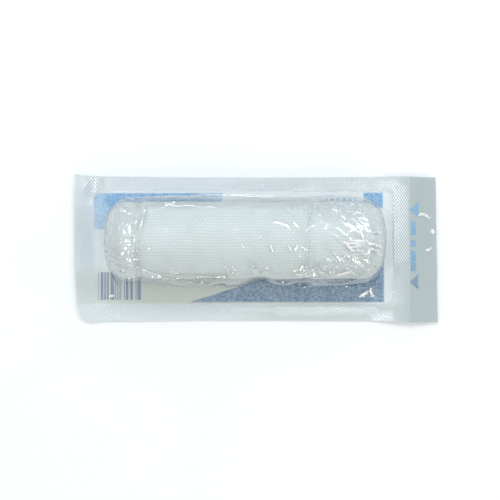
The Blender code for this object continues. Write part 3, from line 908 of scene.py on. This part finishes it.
# The film's main folds, seen from above: where each starts and ends, how far it bows, its height and
# width in millimetres, and how bright its painted glint is. Places are shares of the roll, along it from
# its left end and across it from its front edge.
folds = [
    # the crease round the left end, and the crumpled cap beside it
    ((0.150, 1.03), (0.110, 0.43), 0.10, 0.95, 1.4, 0.0),
    ((0.110, 0.46), (0.112, 0.10), 0.00, 0.80, 1.2, 0.0),
    ((0.000, 0.32), (0.200, -0.01), 0.06, 0.95, 1.1, 0.0),
    ((0.020, 0.20), (0.230, -0.03), 0.05, 0.75, 0.9, 0.0),
    ((0.098, 0.72), (0.101, 0.21), 0.00, 0.25, 0.9, 0.0),
    ((0.018, 0.75), (0.051, 0.94), 0.10, 0.35, 1.0, 0.0),
    ((0.029, 0.74), (0.069, 0.93), 0.10, 0.25, 0.8, 0.0),
    ((0.004, 0.52), (0.043, 0.34), 0.00, 0.45, 1.0, 0.0),
    ((0.043, 0.36), (0.072, 0.55), 0.00, 0.35, 0.9, 0.0),
    ((0.043, 0.34), (0.098, 0.21), 0.10, 0.40, 1.0, 0.0),
    ((0.098, 0.29), (0.138, 0.14), 0.00, 0.40, 1.2, 0.0),
    ((0.000, 0.30), (0.033, 0.04), 0.10, 0.50, 1.4, 0.0),
    ((0.033, 0.04), (0.105, 0.11), 0.10, 0.40, 1.4, 0.0),
    ((0.062, 0.59), (0.087, 0.52), 0.30, 0.30, 0.9, 0.0),
    ((0.058, 0.74), (0.076, 0.67), 0.00, 0.30, 1.0, 0.0),
    ((0.094, 0.69), (0.123, 0.73), 0.00, 0.30, 0.9, 0.0),
    ((0.022, 0.84), (0.123, 1.03), 0.15, 0.40, 1.3, 0.0),
    ((0.159, 0.47), (0.159, 0.35), 0.20, 0.25, 0.8, 0.0),
    ((0.185, 0.78), (0.207, 0.78), 0.00, 0.25, 0.8, 0.0),
    # the long folds beside the front edge
    ((0.051, 0.00), (0.210, 0.03), 0.00, 0.88, 1.2, 0.0),
    ((0.192, 0.03), (0.355, -0.06), 0.05, 0.99, 1.0, 0.0),
    ((0.355, -0.06), (0.511, -0.06), 0.03, 1.10, 1.0, 0.0),
    ((0.562, -0.03), (0.717, -0.08), 0.04, 0.88, 1.0, 0.0),
    ((0.717, -0.08), (0.880, -0.04), 0.04, 0.88, 1.0, 0.0),
    ((0.880, -0.04), (0.986, 0.19), 0.12, 0.99, 1.0, 0.0),
    # the waist's creases
    ((0.431, 0.16), (0.464, 0.03), 0.00, 0.35, 0.9, 0.0),
    ((0.453, 0.18), (0.482, 0.03), 0.00, 0.25, 0.8, 0.0),
    ((0.518, 0.24), (0.547, -0.01), 0.10, 0.50, 1.4, 0.0),
    ((0.583, 0.16), (0.551, -0.01), 0.10, 0.40, 1.2, 0.0),
    # small folds on the top
    ((0.486, 0.45), (0.493, 0.39), 0.20, 0.30, 0.9, 0.9),
    ((0.540, 0.49), (0.562, 0.53), 0.00, 0.30, 0.8, 0.0),
    ((0.591, 0.45), (0.601, 0.34), -0.20, 0.35, 0.9, 1.0),
    ((0.649, 0.43), (0.663, 0.34), 0.10, 0.30, 0.8, 0.9),
    ((0.670, 0.36), (0.692, 0.44), 0.00, 0.30, 0.8, 0.9),
    ((0.696, 0.43), (0.721, 0.36), 0.00, 0.30, 0.8, 0.9),
    ((0.591, 0.72), (0.645, 0.67), 0.10, 0.32, 1.0, 0.9),
    ((0.645, 0.69), (0.656, 0.62), 0.00, 0.28, 0.8, 0.9),
    ((0.667, 0.73), (0.688, 0.64), 0.00, 0.28, 0.8, 0.9),
    # the crease across the right part, which fans out at both sides
    ((0.732, 0.94), (0.721, 0.57), 0.06, 0.55, 0.9, 0.0),
    ((0.721, 0.61), (0.716, 0.17), 0.05, 0.45, 0.9, 0.0),
    ((0.721, 0.63), (0.746, 0.68), 0.00, 0.30, 0.8, 0.0),
    ((0.721, 0.21), (0.696, 0.01), 0.05, 0.28, 0.8, 0.0),
    ((0.732, 0.21), (0.743, 0.00), 0.00, 0.28, 0.8, 0.0),
    ((0.743, 0.24), (0.783, 0.03), 0.05, 0.25, 0.8, 0.0),
    ((0.728, 0.82), (0.703, 1.03), 0.05, 0.25, 0.9, 0.0),
    ((0.739, 0.82), (0.768, 1.02), 0.05, 0.25, 0.9, 0.0),
    # the fan over the right end
    ((0.848, 0.72), (0.884, 0.59), 0.00, 0.40, 1.1, 0.9),
    ((0.859, 0.73), (0.909, 0.53), 0.05, 0.35, 1.0, 0.9),
    ((0.906, 0.60), (0.917, 0.45), 0.10, 0.35, 0.9, 0.9),
    ((0.844, 0.45), (0.920, 0.45), 0.03, 0.42, 0.9, 1.0),
    ((0.859, 0.40), (0.928, 0.42), 0.05, 0.35, 0.8, 0.9),
    ((0.855, 0.45), (0.880, 0.34), 0.00, 0.30, 0.8, 0.9),
    ((0.931, 0.58), (0.986, 0.58), 0.05, 0.35, 0.9, 0.8),
    ((0.928, 0.45), (0.986, 0.40), 0.05, 0.42, 0.9, 1.0),
    ((0.931, 0.40), (0.975, 0.34), 0.05, 0.35, 0.8, 0.9),
    ((0.804, 0.38), (0.866, 0.18), -0.15, 0.40, 0.9, 0.8),
    ((0.837, 0.38), (0.931, 0.15), -0.10, 0.30, 0.8, 0.8),
    ((0.866, 0.19), (0.895, 0.18), 0.00, 0.30, 0.8, 0.0),
    ((0.906, 0.28), (0.949, 0.20), 0.00, 0.35, 0.9, 1.0),
    ((0.819, 0.05), (0.884, 0.11), 0.05, 0.30, 0.9, 0.8),
    ((0.764, 1.02), (0.866, 0.72), 0.05, 0.33, 1.0, 0.0),
    ((0.801, 1.02), (0.888, 0.79), 0.05, 0.28, 0.9, 0.0),
    ((0.830, 1.03), (0.946, 0.82), 0.08, 0.33, 1.0, 0.0),
    # the long folds beside the back edge
    ((0.663, 1.02), (0.862, 0.92), 0.04, 0.35, 1.2, 0.0),
    ((0.138, 0.99), (0.272, 1.04), 0.05, 0.35, 1.0, 0.0),
    ((0.156, 0.93), (0.359, 1.02), 0.03, 0.28, 1.0, 0.0),
    ((0.272, 1.04), (0.424, 1.08), 0.05, 0.35, 1.0, 0.0),
    ((0.424, 1.07), (0.670, 1.01), 0.04, 0.30, 1.0, 0.0),
    # the two front corners of the hollow, down on the paper
    ((0.920, -0.26), (0.967, -0.14), 0.00, 0.80, 1.3, 1.2),
    ((0.967, -0.14), (0.978, -0.26), 0.00, 0.80, 1.3, 1.2),
    ((0.930, -0.26), (0.980, -0.25), 0.00, 0.60, 1.1, 1.0),
    ((-0.022, -0.24), (0.012, -0.22), 0.00, 0.80, 1.3, 1.2),
    ((-0.011, 0.09), (0.022, -0.20), 0.10, 0.70, 1.0, 0.0),
]

# the front bulges, as shares of the roll's length
frontBulges = [(0.06, 0.545), (0.565, 0.99)]

# Small folds scattered over parts of the film: where along and across the roll, how many, their
# direction in degrees from the roll's length and its spread, and the least and most of their
# lengths, heights and widths in millimetres.
scatter = [
    ((0.00, 0.12), (0.05, 0.98), 60, 62, 32, (3.0, 7.0), (0.14, 0.34), (0.5, 0.75)),
    ((0.00, 0.12), (0.05, 0.55), 20, -38, 15, (3.0, 7.0), (0.12, 0.30), (0.5, 0.75)),
    ((0.82, 0.95), (0.42, 0.85), 18, -50, 12, (4.0, 9.0), (0.20, 0.42), (0.6, 0.8)),
    ((0.83, 0.99), (0.30, 0.60), 14, -4, 12, (4.0, 8.0), (0.20, 0.42), (0.5, 0.7)),
    ((0.78, 0.97), (0.06, 0.42), 22, -28, 12, (4.0, 10.0), (0.20, 0.42), (0.6, 0.8)),
    ((0.74, 0.98), (0.70, 1.00), 26, -35, 18, (4.0, 9.0), (0.16, 0.36), (0.6, 0.8)),
    ((0.66, 0.80), (0.02, 0.25), 22, 95, 20, (2.0, 6.0), (0.14, 0.30), (0.6, 0.8)),
    ((0.66, 0.86), (0.75, 1.02), 26, -60, 30, (2.0, 6.0), (0.14, 0.30), (0.6, 0.9)),
    ((0.14, 0.80), (0.15, 0.80), 46, 40, 60, (1.2, 3.5), (0.05, 0.14), (0.6, 0.9)),
    ((0.05, 0.95), (-0.07, 0.04), 30, 0, 12, (5.0, 16.0), (0.12, 0.30), (0.7, 1.0)),
    ((0.05, 0.95), (0.97, 1.06), 24, 0, 10, (5.0, 16.0), (0.12, 0.28), (0.7, 1.0)),
]

tabSpots = [(63.3, 13.6), (65.4, 12.6), (67.8, 6.4), (66.5, -1.0)]     # small dents, in millimetres

# small creases in the film's tab, in millimetres: start, end, height and width
tabCreases = [
    ((61.2, 12.2), (62.6, 13.8), 0.22, 0.8),
    ((62.4, 12.4), (63.8, 13.7), 0.24, 0.8),
    ((63.6, 12.0), (65.0, 13.2), 0.22, 0.8),
    ((64.6, 11.4), (66.0, 12.4), 0.18, 0.8),
    ((65.4, 6.2), (67.2, 7.6), 0.24, 0.8),
    ((66.4, 5.6), (67.8, 6.8), 0.20, 0.8),
    ((63.4, -1.0), (66.8, 0.4), 0.14, 0.9),
]


def bezier(start, end, bow, steps=7):
    # points on a line that bows sideways by a share of its length
    start, end = np.array(start), np.array(end)
    side = np.array([-(end - start)[1], (end - start)[0]])
    middle = 0.5 * (start + end) + bow * side
    t = np.linspace(0, 1, steps)[:, None]
    return (1 - t) ** 2 * start + 2 * t * (1 - t) * middle + t ** 2 * end


def fromShares(place):
    along, across = place
    front = rollY - 0.5 * roll["width"]
    return (roll["left"] + along * rollLength, front + across * roll["width"])


def addRidge(lift, plan, line, height, width):
    # raises a thin rounded ridge along a line, tapered at both ends
    low = line.min(axis=0) - width
    high = line.max(axis=0) + width
    near = np.nonzero(((plan > low) & (plan < high)).all(axis=1))[0]
    if not len(near):
        return
    p = plan[near]
    best = np.full(len(near), 1e9)
    where = np.zeros(len(near))
    pieces = len(line) - 1
    for k in range(pieces):
        a, b = line[k], line[k + 1]
        d = b - a
        t = np.clip(((p - a) @ d) / max(d @ d, 1e-12), 0, 1)
        away = np.hypot(*(p - (a + t[:, None] * d)).T)
        closer = away < best
        best = np.where(closer, away, best)
        where = np.where(closer, (k + t) / pieces, where)
    tent = 0.5 - 0.5 * np.cos(np.pi * np.clip(1 - best / width, 0, 1))
    taper = np.clip(np.sin(np.pi * np.clip(where, 0.04, 0.96)), 0, 1) ** 0.6
    lift[near] += height * tent * taper


def filmRidges(plan):
    lift = np.zeros(len(plan))
    for start, end, bow, height, width, _ in folds:
        line = bezier(fromShares(start), fromShares(end), bow)
        addRidge(lift, plan, line, film["foldHeight"] * height * mm, width * mm)
    for number, zone in enumerate(scatter):
        alongs, acrosses, count, mainTurn, spread, lengths, heights, widths = zone
        rng = np.random.default_rng(500 + number)
        for _ in range(count):
            along = rng.uniform(*alongs)
            across = rng.uniform(*acrosses)
            turn = math.radians(mainTurn + rng.uniform(-1, 1) * spread)
            length = rng.uniform(*lengths) * mm
            height = rng.uniform(*heights) * mm * film["scatterHeight"]
            width = rng.uniform(*widths) * mm
            bow = rng.uniform(-0.2, 0.2)
            centre = np.array(fromShares((along, across)))
            reach = 0.5 * length * np.array([math.cos(turn), math.sin(turn)])
            addRidge(lift, plan, bezier(centre - reach, centre + reach, bow), height, width)
    return lift


def paintedGlintFolds(plan):
    # painted glints along the film's sharpest folds
    paintedGlint = np.zeros(len(plan))
    for start, end, bow, _, _, whiteness in folds:
        if whiteness:
            line = bezier(fromShares(start), fromShares(end), bow)
            addRidge(paintedGlint, plan, line, whiteness, film["paintedGlintWidth"])
    return np.clip(paintedGlint, 0, 1)


def filmRings():
    # smooth rings from the hole's edge down on the paper, up the roll's sides and over its top
    laid = pouch["paperThickness"] + pouch["weldGap"]
    top = crownRing(0.0)
    edge = np.stack([edgeX, edgeY], axis=1)
    reach = footReach()[:, None]
    foot = top[:, :2] + (edge - top[:, :2]) * reach
    rings = []
    for k in range(1, film["floorRings"] + 1):
        plan = edge + (foot - edge) * (k / film["floorRings"])
        lift = sheetHeight(plan[:, 0], plan[:, 1]) + laid
        rings.append(np.column_stack([plan, lift]))
    for k in range(1, film["skirtRings"]):
        up = (k / film["skirtRings"]) ** 0.9
        out = (1 - up) ** 1.5
        plan = top[:, :2] + (foot - top[:, :2]) * out
        low = sheetHeight(plan[:, 0], plan[:, 1]) + laid
        rings.append(np.column_stack([plan, low + (top[:, 2] - low) * up]))
    for k in range(film["crownRings"] + 1):
        rise = 0.5 * math.pi * k / film["crownRings"]
        rings.append(crownRing(rise))
    return np.array(rings)


def ringNormals(rings):
    along = np.roll(rings, -1, axis=1) - np.roll(rings, 1, axis=1)
    inwards = np.gradient(rings, axis=0)
    normal = np.cross(along, inwards)
    length = np.linalg.norm(normal, axis=2, keepdims=True)
    normal = normal / np.maximum(length, 1e-12)
    flat = length[..., 0] < 1e-12
    normal[flat] = (0, 0, 1)
    return normal


def filmStandOff(rings):
    # where the film stands off the roll: along the back, over both ends and in the front bulges
    x, y, z = rings[..., 0], rings[..., 1], rings[..., 2]
    angle = np.degrees(np.arctan2(z - rollZ, y - rollY))
    along = (x - roll["left"]) / rollLength
    onTop = ease((z - rollZ + 2 * mm) / (8 * mm))
    back = ease((angle + 25) / 30) * ease((52 - angle) / 30)
    back = back * ease((along - 0.10) / 0.05) * ease((0.97 - along) / 0.10)
    back = back * (0.75 + 0.25 * np.cos(2 * np.pi * (along - 0.3) / 0.55))
    left = ease((0.118 - along) / 0.02) * onTop * ease((along - 0.01) / 0.06)
    right = ease((along - 0.86) / 0.12) * onTop * ease((0.985 - along) / 0.06)
    facing = np.where(angle < -90, -(180 + angle), np.where(angle > 90, 180 - angle, 90))
    front = ease((facing + 30) / 30) * ease((48 - facing) / 40)
    lens = sum(np.sin(np.pi * np.clip((along - a) / (b - a), 0, 1)) ** 0.7 for a, b in frontBulges)
    return back, left, right, front * lens


def plainPlace(x, y):
    # the part of the left seal that lets the print show well
    plain = ease((x - film["plainLeft"]) / (2 * mm)) * ease((film["plainRight"] - x) / (2 * mm))
    return plain * ease((film["plainReach"] - np.abs(y)) / (1.5 * mm))


def clearFilm():
    print("laying the film")
    rings = filmRings()
    normals = ringNormals(rings)
    back, left, right, front = filmStandOff(rings)
    fine = solidNoise(rings, 1.8 * mm, 14, np.random.default_rng(31))
    slack = solidNoise(rings, 9 * mm, 9, np.random.default_rng(32))
    standing = film["backHump"] * back + film["endTent"] * (left + 0.6 * right)
    standing = np.maximum(standing + film["frontBulge"] * front, 0) * (1 + 0.25 * slack)
    crest = len(rings) - 1      # the last ring is a line along the top
    rings[:crest] += normals[:crest] * standing[:crest, :, None]
    normals = ringNormals(rings)
    ringPlan = rings[..., :2].reshape(-1, 2)
    ridges = filmRidges(ringPlan).reshape(rings.shape[:2])
    ringNumber = np.arange(len(rings))[:, None]
    hold = ease((ringNumber + 1) / 5)
    slowHold = ease((ringNumber + 1) / (film["floorRings"] + 2))
    lift = np.maximum(ridges + film["fineRelief"] * fine * slowHold, 0.0) * hold
    moved = rings + normals * lift[..., None]
    moved[crest] = rings[crest]
    moved[crest, :, 2] += lift[crest]

    # the margins, with the seal and the tab
    gx, gy = planX[outside], planY[outside]
    column, row = gridColumn[outside], gridRow[outside]
    gz = sheetHeight(gx, gy) + pouch["paperThickness"] + pouch["weldGap"]
    gz = gz + knurlHeight[outside] + tabClear(gx, gy)
    wave = slowNoise(gx, gy, 6 * mm, 8, np.random.default_rng(33))
    gz = gz + film["tabWave"] * np.maximum(wave, 0) * ease((gx - sealTab) / (4 * mm))
    lip = ease((gridX[column] - pouch["right"] + film["lipWidth"]) / film["lipWidth"])
    ragged = 0.5 + 0.5 * np.sin(gy / (0.9 * mm)) * np.sin(gy / (2.3 * mm))
    gz = gz - pouch["tabLip"] * lip * ragged * ease((4 * mm - gy) / (8 * mm))
    seal = sealMask(gx, gy)
    plain = plainPlace(gx, gy)
    # painted glint points of the knurl and painted shade between them, strongest in its pressed bands
    glintBand = np.clip(knurl["paintedGlint"] * seal * (pressed(gx, gy) - knurl["faint"]) * (1 + 0.15 * wave), 0, 1)
    glintBand = np.maximum(glintBand, knurl["paintedGlintAway"] * seal) * (1 - 0.9 * plain)
    # the seal's haze fades before the tab, so the paper's painted shade shows there
    frost = seal * (1 - 0.75 * ease((gx - sealTab + 9 * mm) / (9 * mm))) * (1 - 0.8 * plain)
    torn = np.random.default_rng(34).random(rows + 1)[row]
    torn = np.where(torn > film["tornAbove"], torn, 0.0) * ease((2 * mm - gy) / (4 * mm))
    # painted glints along the tab's torn edge, and below along its creases
    paintedGlint = film["tornGlint"] * ease((lip - 0.5) / 0.5) * torn
    for start, end, height, width in tabCreases:
        line = bezier(np.array(start) * mm, np.array(end) * mm, 0.05)
        addRidge(gz, np.column_stack([gx, gy]), line, height * mm, width * mm)
        addRidge(paintedGlint, np.column_stack([gx, gy]), line, 1.2, width * mm)
    grid = np.column_stack([gx, gy, gz])
    points = np.concatenate([grid, moved.reshape(-1, 3)])
    faces = marginFaces.tolist() + ringFaces(len(grid), len(rings))
    smooth = np.ones(len(faces), bool)
    centre = grid[marginFaces].mean(axis=1)
    smooth[:len(marginFaces)] = sealMask(centre[:, 0], centre[:, 1]) < 0.3

    # what the material reads
    standOff = np.clip(standing / (0.8 * mm) + ridges / (0.2 * mm), 0, 1)
    onRoll = ease((moved[..., 2] - rollZ + 4 * mm) / (6 * mm))
    cling = np.clip(1 - standOff * 1.6, 0, 1) * onRoll
    along = (moved[..., 0] - roll["left"]) / rollLength
    crinkle = 0.04 + 0.25 * left + 0.3 * ease(1 - np.abs(along - 0.55) / 0.06)
    crinkle = crinkle + 0.35 * ease(1 - np.abs(along - 0.724) / 0.06) + 0.2 * (1 - onRoll)
    crinkle = np.clip(crinkle, 0, 1) * slowHold
    spots = sum(np.exp(-((gx - sx * mm) ** 2 + (gy - sy * mm) ** 2) / film["spotRadius"] ** 2)
                for sx, sy in tabSpots)
    tabCrinkle = 0.04 * ease((gx - sealTab) / (3 * mm)) + np.clip(spots, 0, 1)
    fan = ease((along - 0.74) / 0.10) * onRoll
    turned = ringNormals(moved)
    # painted shade: the film is darker and hazier where it is steep or bent
    steepShade = 1 - np.clip(np.abs(turned[..., 2]), 0, 1)
    crease = 1 - np.clip((turned * normals).sum(axis=2), 0, 1)
    steepShade = np.clip(ease((steepShade - 0.25) / 0.6) + film["creaseShade"] * crease, 0, 1)
    onMargin = {"tab": ease((gx - sealTab) / mm), "crinkle": tabCrinkle, "seal": seal, "frost": frost,
                "paintedGlint": paintedGlint, "glintBand": glintBand, "column": column, "row": row}
    onRings = {"steepShade": steepShade, "fan": fan, "crinkle": crinkle, "cling": cling, "standOff": standOff,
               "paintedGlint": paintedGlintFolds(ringPlan)}
    attributes = []
    for label in {**onMargin, **onRings}:
        margin = onMargin.get(label, np.zeros(len(grid)))
        hollow = onRings.get(label, np.zeros(moved.shape[:2]))
        attributes.append((label, np.concatenate([margin, hollow.reshape(-1)])))
    thing = makeMesh("clearFilm", points, faces, smooth, attributes, weld=True)
    settle(thing, "clear_film", filmMaterial())


# the paper
def backingPaper():
    print("cutting the paper")
    gx, gy = planX[outside], planY[outside]
    gz = sheetHeight(gx, gy) + knurlHeight[outside]
    grid = np.column_stack([gx, gy, gz])
    steps = 14
    edge = np.stack([edgeX, edgeY], axis=1)
    middleX = np.clip(edgeX, roll["left"] + 0.5 * roll["width"], roll["right"] - 0.5 * roll["width"])
    middle = np.column_stack([middleX, np.full(ringCount, rollY)])
    rings = []
    for k in range(1, steps + 1):
        plan = edge + (middle - edge) * (k / steps)
        rings.append(np.column_stack([plan, sheetHeight(plan[:, 0], plan[:, 1])]))
    rings = np.array(rings).reshape(-1, 3)
    lower = np.concatenate([grid, rings])
    lower[:, 2] = np.maximum(lower[:, 2], 0.0)
    upper = lower + np.array([0, 0, pouch["paperThickness"]])
    inner = ringFaces(len(grid), steps)
    count = len(lower)
    rim = [gridIndex[0, i] for i in range(columns)]
    rim += [gridIndex[j, columns] for j in range(rows)]
    rim += [gridIndex[rows, i] for i in range(columns, 0, -1)]
    rim += [gridIndex[j, 0] for j in range(rows, 0, -1)]
    rim = np.array(rim)
    after = np.roll(rim, -1)
    edges = np.stack([rim, after, after + count, rim + count], axis=1)
    points = np.concatenate([lower, upper])
    faces = (marginFaces + count).tolist() + marginFaces[:, ::-1].tolist()
    flatShare = sealMask(*lower[marginFaces].mean(axis=1)[:, :2].T) > 0.3
    smooth = np.concatenate([~flatShare, ~flatShare, np.ones(2 * len(inner) + len(edges), bool)])
    faces += [[i + count for i in face] for face in inner] + [face[::-1] for face in inner]
    faces += edges.tolist()
    thing = makeMesh("backingPaper", points, faces, smooth, weld=True)
    settle(thing, "backing_paper", paperMaterial())


def floor():
    mesh = bpy.data.meshes.new("floor")
    size = 3.0
    drop = -0.02 * mm
    mesh.from_pydata([(-size, -size, drop), (size, -size, drop), (size, size, drop), (-size, size, drop)],
                     [], [(0, 1, 2, 3)])
    thing = bpy.data.objects.new("floor", mesh)
    bpy.context.scene.collection.objects.link(thing)
    mesh.materials.append(floorMaterial())


# Small bright lamps make the glints, and panels give most of the light. In each row: the lamp's name,
# place, size, watts and tint.
lamps = [
    ("key", (-0.115, 0.20, 0.44), (0.04, 0.04), 0.07, (1.0, 1.0, 1.0)),
    ("backRight", (0.10, 0.25, 0.50), (0.02, 0.02), 0.08, (1.0, 1.0, 1.0)),
    ("front", (0.10, -0.30, 0.52), (0.025, 0.025), 0.16, (1.0, 1.0, 1.0)),
    ("left", (-0.34, 0.05, 0.42), (0.015, 0.015), 0.05, (1.0, 1.0, 1.0)),
    ("right", (0.38, 0.08, 0.32), (0.02, 0.02), 0.08, (1.0, 1.0, 1.0)),
    ("topPanel", (0.02, 0.34, 0.56), (0.44, 0.20), 0.83, (0.90, 0.96, 1.0)),
    ("frontHigh", (0.16, -0.34, 0.38), (0.24, 0.018), 0.13, (1.0, 1.0, 1.0)),
    ("frontStrip", (0.0, -0.50, 0.14), (0.60, 0.012), 0.22, (1.0, 1.0, 0.97)),
    ("backStrip", (0.0, 0.50, 0.14), (0.60, 0.015), 0.20, (0.95, 0.98, 1.0)),
]


# the sky is brightest overhead, a little blue at the back and a little warm in front
sky = {
    "overhead": (1.03, 1.03, 1.03),
    "back": (0.60, 0.69, 0.77),
    "front": (0.41, 0.43, 0.405),
}


def skyLight(world):
    m = Nodes(world)
    way = m.split(m.new("ShaderNodeTexCoord").outputs["Generated"])
    low = m.mix(m.ramp(way[1], -0.7, 0.7, kind="LINEAR"), sky["front"], sky["back"])
    upShare = m.math("POWER", m.most(way[2], 0.0), 2.0)
    m.link(m.mix(upShare, low, sky["overhead"]), m.tree.nodes["Background"].inputs["Color"])


def light():
    print("lighting")
    for name, place, size, watts, tint in lamps:
        data = bpy.data.lights.new(name, "AREA")
        data.shape = "ELLIPSE" if size[0] == size[1] else "RECTANGLE"
        data.size, data.size_y = size
        data.energy = watts
        data.color = tint
        thing = bpy.data.objects.new(name, data)
        bpy.context.scene.collection.objects.link(thing)
        thing.location = place
        thing.rotation_euler = (-Vector(place)).to_track_quat("-Z", "Y").to_euler()
    world = bpy.data.worlds.new("studio")
    bpy.context.scene.world = world
    skyLight(world)


gauzeRoll()
clearFilm()
backingPaper()
floor()
light()
bpy.context.scene.view_settings.view_transform = "Standard"
